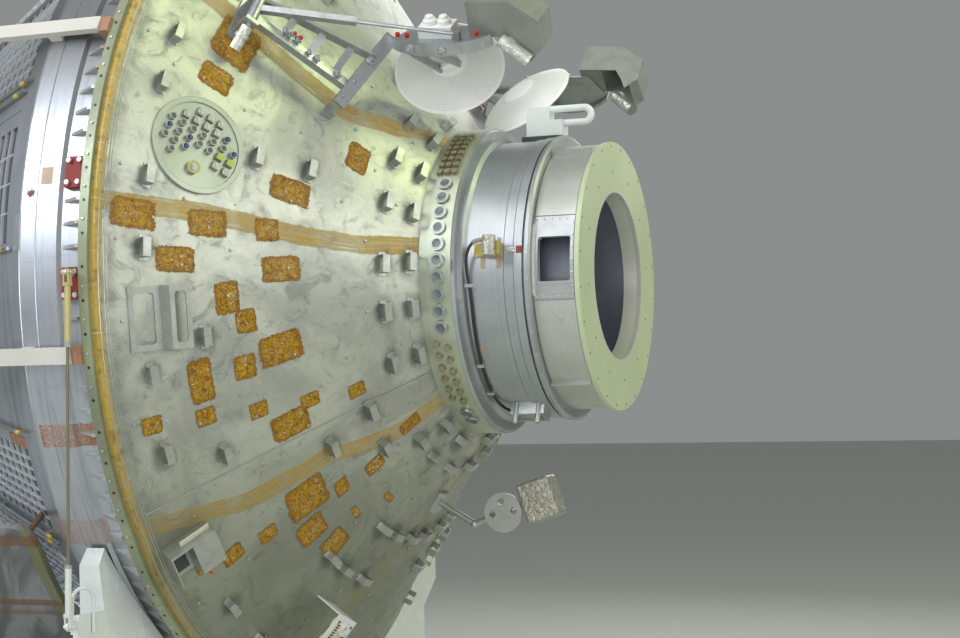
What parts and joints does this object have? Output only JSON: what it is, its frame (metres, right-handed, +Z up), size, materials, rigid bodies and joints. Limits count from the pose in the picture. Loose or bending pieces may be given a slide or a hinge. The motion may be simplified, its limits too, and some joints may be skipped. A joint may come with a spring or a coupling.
{
  "type": "space capsule",
  "caption": "Cone-ended spacecraft pressure compartment with a docking tunnel, folding antennas and an inward hatch, on a display cradle.",
  "frame": {"origin": "centre of the footprint on the floor, on the symmetry plane", "axes": "+X along the hull towards the docking port, +Z up"},
  "size_m": [3.892, 4.264, 4.975],
  "materials": {
    "hull_aluminium": "brushed",
    "flange_olive": "satin",
    "cone_skin": "scuffed satin",
    "plate_aluminium": "satin",
    "bracket_aluminium": "satin",
    "housing_grey": "satin",
    "white_paint": "gloss",
    "collar_skin": "satin",
    "socket_metal": "satin",
    "plug_bronze": "satin",
    "tunnel_aluminium": "brushed",
    "end_skin": "satin",
    "panel_aluminium": "brushed",
    "port_paint": "matt",
    "inner_paint": "satin",
    "liner_dark": "satin",
    "latch_black": "gloss",
    "ochre_metal": "gloss",
    "foil_wrap": "crumpled",
    "cable_black": "matt",
    "rail_paint": "matt",
    "cork_brown": "matt",
    "tube_steel": "satin",
    "pod_grey": "matt",
    "red_paint": "gloss",
    "cradle_white": "gloss",
    "rubber_black": "matt",
    "boom_aluminium": "machined",
    "dish_white": "satin"
  },
  "bodies": {
    "root": {"barrel": "hull_aluminium", "barrel_taper": "hull_aluminium", "barrel_rear": "hull_aluminium", "front_flange": "flange_olive", "rear_ring": "flange_olive", "rear_dish": "hull_aluminium", "cone_shell": "cone_skin", "socket_plate": "plate_aluminium", "bridge_brackets": "bracket_aluminium", "folded_frame": "bracket_aluminium", "open_housing": "housing_grey", "socket_tray": "white_paint", "collar": "collar_skin", "collar_sockets": "socket_metal", "collar_plugs": "plug_bronze", "tunnel": "tunnel_aluminium", "joint_flange": "tunnel_aluminium", "end_collar": "end_skin", "window_panel": "panel_aluminium", "shrouds": "panel_aluminium", "port_plate": "port_paint", "bulkhead": "inner_paint", "docking_tube": "liner_dark", "tube_web": "liner_dark", "tube_band": "liner_dark", "latches": "latch_black", "grip": "white_paint", "grip_base": "liner_dark", "sensor_wedge": "ochre_metal", "wrapped_sensor": "foil_wrap", "lead": "cable_black", "lead_clips": "bracket_aluminium", "junction_box": "bracket_aluminium", "rails": "rail_paint", "rail_blocks": "cork_brown", "tubes": "tube_steel", "side_pod_left": "pod_grey", "side_pod_right": "pod_grey", "tie_lugs": "red_paint", "tie_rod_left": "tube_steel", "tie_rod_right": "tube_steel", "saddle_front": "cradle_white", "saddle_rear": "cradle_white", "saddle_pads": "rubber_black", "cradle_beams": "cradle_white", "lifting_loops": "tube_steel", "probe_arm": "bracket_aluminium", "probe_disc": "bracket_aluminium", "probe_box": "foil_wrap", "boom_base_left": "boom_aluminium", "boom_base_right": "boom_aluminium"},
    "hatch": {"hatch_door": "inner_paint"},
    "antenna_left": {"boom_left": "boom_aluminium", "instruments_left": "white_paint", "hood_left": "pod_grey"},
    "dish_left": {"dish_left": "dish_white"},
    "antenna_right": {"boom_right": "boom_aluminium", "instruments_right": "white_paint", "hood_right": "pod_grey"},
    "dish_right": {"dish_right": "dish_white"}
  },
  "joints": [
    {"name": "hatch_hinge", "type": "hinge", "parent": "root", "child": "hatch", "pos_m": [1.21, 0.492, 2.9], "axis": [0, 0, -1], "range_deg": [0, 110]},
    {"name": "antenna_boom_left", "type": "hinge", "parent": "root", "child": "antenna_left", "pos_m": [0.684, -1.27, 4.073], "axis": [0, -0.6785, -0.7346], "range_deg": [0, 60]},
    {"name": "dish_tilt_left", "type": "hinge", "parent": "antenna_left", "child": "dish_left", "pos_m": [1.30424, -0.52928, 3.88426], "axis": [-0.9383, -0.2245, -0.2629], "range_deg": [0, 15]},
    {"name": "antenna_boom_right", "type": "hinge", "parent": "root", "child": "antenna_right", "pos_m": [0.684, 1.27, 4.073], "axis": [0, -0.6785, 0.7346], "range_deg": [0, 60]},
    {"name": "dish_tilt_right", "type": "hinge", "parent": "antenna_right", "child": "dish_right", "pos_m": [1.30424, 0.52928, 3.88426], "axis": [0.9383, -0.2245, 0.2629], "range_deg": [0, 15]}
  ]
}
